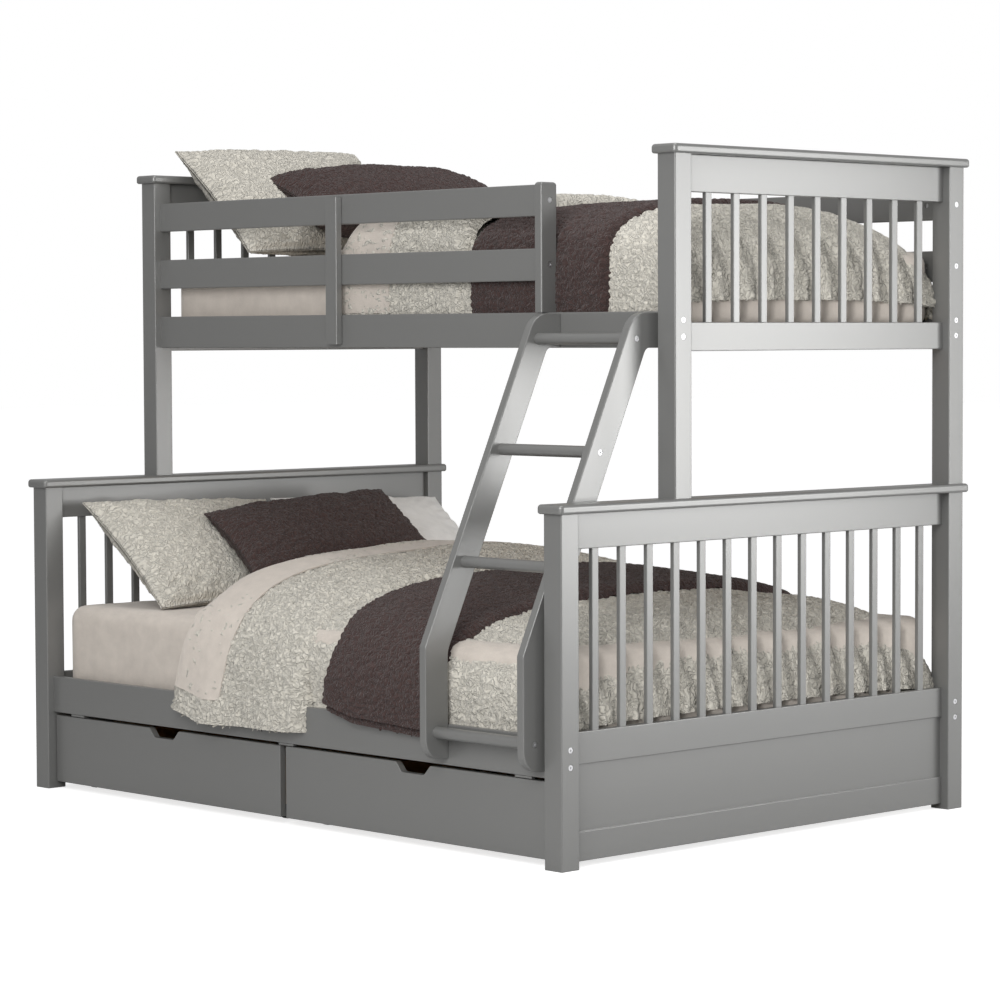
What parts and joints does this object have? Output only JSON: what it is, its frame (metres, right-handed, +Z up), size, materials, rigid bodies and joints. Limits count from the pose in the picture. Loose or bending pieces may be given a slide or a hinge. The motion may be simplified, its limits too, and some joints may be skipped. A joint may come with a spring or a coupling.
{
  "type": "bunk bed with ladder",
  "caption": "Twin-over-full slatted wooden bunk bed with an angled ladder, guard rails, two roll-out drawers on casters, mattresses and made-up bedding.",
  "frame": {"origin": "centre of the bounding box's footprint, on the floor", "axes": "+X towards the foot end along the bed, -Y towards the ladder and drawers, +Y towards the wall, +Z up"},
  "size_m": [2.046, 1.514, 1.722],
  "materials": {
    "grey_lacquered_wood": "satin grey lacquer over smooth wood",
    "plain_pine": "planed pine",
    "zinc_steel": "zinc plated",
    "wheel_plastic": "smooth",
    "mattress_cloth": "plain woven",
    "cream_quilted_cloth": "crinkled quilting",
    "brown_quilted_cloth": "crinkled quilting",
    "white_cloth": "plain woven"
  },
  "bodies": {
    "bed": {"barrel_nuts": "zinc_steel", "centre_beam_and_legs": "plain_pine", "dowel_pins": "plain_pine", "drawer_rail_pads": "grey_lacquered_wood", "frame_bolts": "zinc_steel", "full_comforter": "cream_quilted_cloth", "full_folded_quilt": "cream_quilted_cloth", "full_foot_cap": "grey_lacquered_wood", "full_foot_panel": "grey_lacquered_wood", "full_foot_posts": "grey_lacquered_wood", "full_foot_rails": "grey_lacquered_wood", "full_foot_spindles": "grey_lacquered_wood", "full_head_cap": "grey_lacquered_wood", "full_head_panel": "grey_lacquered_wood", "full_head_posts": "grey_lacquered_wood", "full_head_rails": "grey_lacquered_wood", "full_head_spindles": "grey_lacquered_wood", "full_mattress": "mattress_cloth", "full_pillow_brown": "brown_quilted_cloth", "full_pillow_cream": "cream_quilted_cloth", "full_pillow_white": "white_cloth", "full_side_rail_back": "grey_lacquered_wood", "full_side_rail_front": "grey_lacquered_wood", "full_support_slats": "plain_pine", "full_throw": "brown_quilted_cloth", "guard_rails_back": "grey_lacquered_wood", "guard_rails_front": "grey_lacquered_wood", "guard_stiles": "grey_lacquered_wood", "guard_upright": "grey_lacquered_wood", "ladder_rungs": "grey_lacquered_wood", "ladder_stringer_left": "grey_lacquered_wood", "ladder_stringer_right": "grey_lacquered_wood", "slat_cleats": "plain_pine", "twin_comforter": "cream_quilted_cloth", "twin_folded_quilt": "cream_quilted_cloth", "twin_foot_cap": "grey_lacquered_wood", "twin_foot_posts": "grey_lacquered_wood", "twin_foot_rails": "grey_lacquered_wood", "twin_foot_spindles": "grey_lacquered_wood", "twin_head_cap": "grey_lacquered_wood", "twin_head_posts": "grey_lacquered_wood", "twin_head_rails": "grey_lacquered_wood", "twin_head_spindles": "grey_lacquered_wood", "twin_mattress": "mattress_cloth", "twin_pillow_brown": "brown_quilted_cloth", "twin_pillow_cream": "cream_quilted_cloth", "twin_side_rail_back": "grey_lacquered_wood", "twin_side_rail_front": "grey_lacquered_wood", "twin_support_slats": "plain_pine", "twin_throw": "brown_quilted_cloth"},
    "drawer_left": {"drawer_left_front": "grey_lacquered_wood", "drawer_left_box": "plain_pine", "drawer_left_caster_frames": "zinc_steel"},
    "wheels_left_front": {"drawer_left_wheels_front": "wheel_plastic"},
    "wheels_left_back": {"drawer_left_wheels_back": "wheel_plastic"},
    "drawer_right": {"drawer_right_front": "grey_lacquered_wood", "drawer_right_box": "plain_pine", "drawer_right_caster_frames": "zinc_steel"},
    "wheels_right_front": {"drawer_right_wheels_front": "wheel_plastic"},
    "wheels_right_back": {"drawer_right_wheels_back": "wheel_plastic"}
  },
  "joints": [
    {"name": "drawer_left_slide", "type": "slide", "parent": "bed", "child": "drawer_left", "axis": [0, -1, 0], "range_m": [0, 0.45]},
    {"name": "wheels_left_front_spin", "type": "hinge", "parent": "drawer_left", "child": "wheels_left_front", "pos_m": [-0.481, -0.602, 0.02], "axis": [1, 0, 0], "continuous": true},
    {"name": "wheels_left_back_spin", "type": "hinge", "parent": "drawer_left", "child": "wheels_left_back", "pos_m": [-0.481, -0.092, 0.02], "axis": [1, 0, 0], "continuous": true},
    {"name": "drawer_right_slide", "type": "slide", "parent": "bed", "child": "drawer_right", "axis": [0, -1, 0], "range_m": [0, 0.45]},
    {"name": "wheels_right_front_spin", "type": "hinge", "parent": "drawer_right", "child": "wheels_right_front", "pos_m": [0.481, -0.602, 0.02], "axis": [1, 0, 0], "continuous": true},
    {"name": "wheels_right_back_spin", "type": "hinge", "parent": "drawer_right", "child": "wheels_right_back", "pos_m": [0.481, -0.092, 0.02], "axis": [1, 0, 0], "continuous": true}
  ],
  "couplings": [
    {"joint": "wheels_left_front_spin", "follows": "drawer_left_slide", "rad_per_m": 50},
    {"joint": "wheels_left_back_spin", "follows": "drawer_left_slide", "rad_per_m": 50},
    {"joint": "wheels_right_front_spin", "follows": "drawer_right_slide", "rad_per_m": 50},
    {"joint": "wheels_right_back_spin", "follows": "drawer_right_slide", "rad_per_m": 50}
  ]
}
